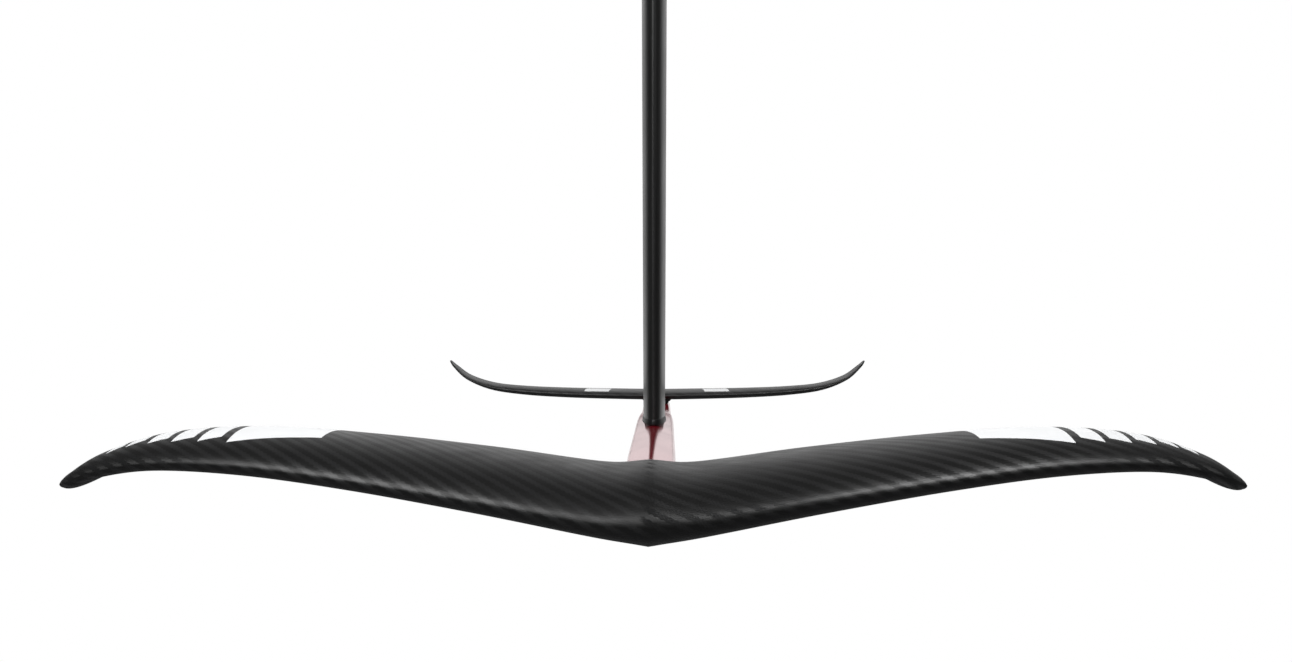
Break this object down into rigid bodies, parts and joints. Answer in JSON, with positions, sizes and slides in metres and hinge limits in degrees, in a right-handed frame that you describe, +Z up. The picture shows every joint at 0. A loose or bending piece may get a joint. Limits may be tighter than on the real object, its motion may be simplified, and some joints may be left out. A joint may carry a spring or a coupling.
{
  "type": "hydrofoil",
  "caption": "Board hydrofoil: gull-shaped carbon front wing, slim metal fuselage, tapered mast with a slotted base plate, and a stabiliser with turned-up tips.",
  "frame": {"origin": "centre of the base plate's top face, which bolts against the underside of a board", "axes": "+Z up out of the base plate into the board, -Y towards the nose of the front wing, +X to the right of a viewer who faces the nose"},
  "size_m": [0.6422, 0.657, 0.7459],
  "materials": {
    "carbon_front_wing": "satin clear coat over black twill carbon, white painted bars near the tips",
    "carbon_mast": "satin black carbon",
    "carbon_stabiliser": "satin black carbon with two small white painted patches",
    "laminate": "raw solid laminate",
    "foam_core": "closed-cell structural foam",
    "fuselage_red": "dark red gloss anodised",
    "black_anodised": "fine bead-blasted black anodised",
    "steel": "polished stainless steel",
    "shim_black": "moulded black nylon"
  },
  "bodies": {
    "root": {"front_wing_top_skin": "carbon_front_wing", "front_wing_bottom_skin": "carbon_front_wing", "mast_skin": "carbon_mast", "stabiliser": "carbon_stabiliser", "front_wing_mount_block": "laminate", "front_wing_core_left": "foam_core", "front_wing_core_right": "foam_core", "mast_core": "foam_core", "fuselage": "fuselage_red", "base_plate": "black_anodised", "mast_foot": "black_anodised", "mast_head": "black_anodised", "stabiliser_shim": "shim_black", "base_plate_screw_1": "steel", "base_plate_screw_2": "steel", "base_plate_screw_3": "steel", "front_wing_screw_1": "steel", "front_wing_screw_2": "steel", "front_wing_screw_3": "steel", "mast_foot_screw_1": "steel", "mast_foot_screw_2": "steel", "stabiliser_screw_1": "steel", "stabiliser_screw_2": "steel", "wing_thread_insert_1": "steel", "wing_thread_insert_2": "steel", "wing_thread_insert_3": "steel", "tail_thread_insert_1": "steel", "tail_thread_insert_2": "steel", "mast_foot_thread_insert_1": "steel", "mast_foot_thread_insert_2": "steel", "mast_head_thread_insert_1": "steel", "mast_head_thread_insert_2": "steel", "mast_head_thread_insert_3": "steel"}
  },
  "joints": []
}
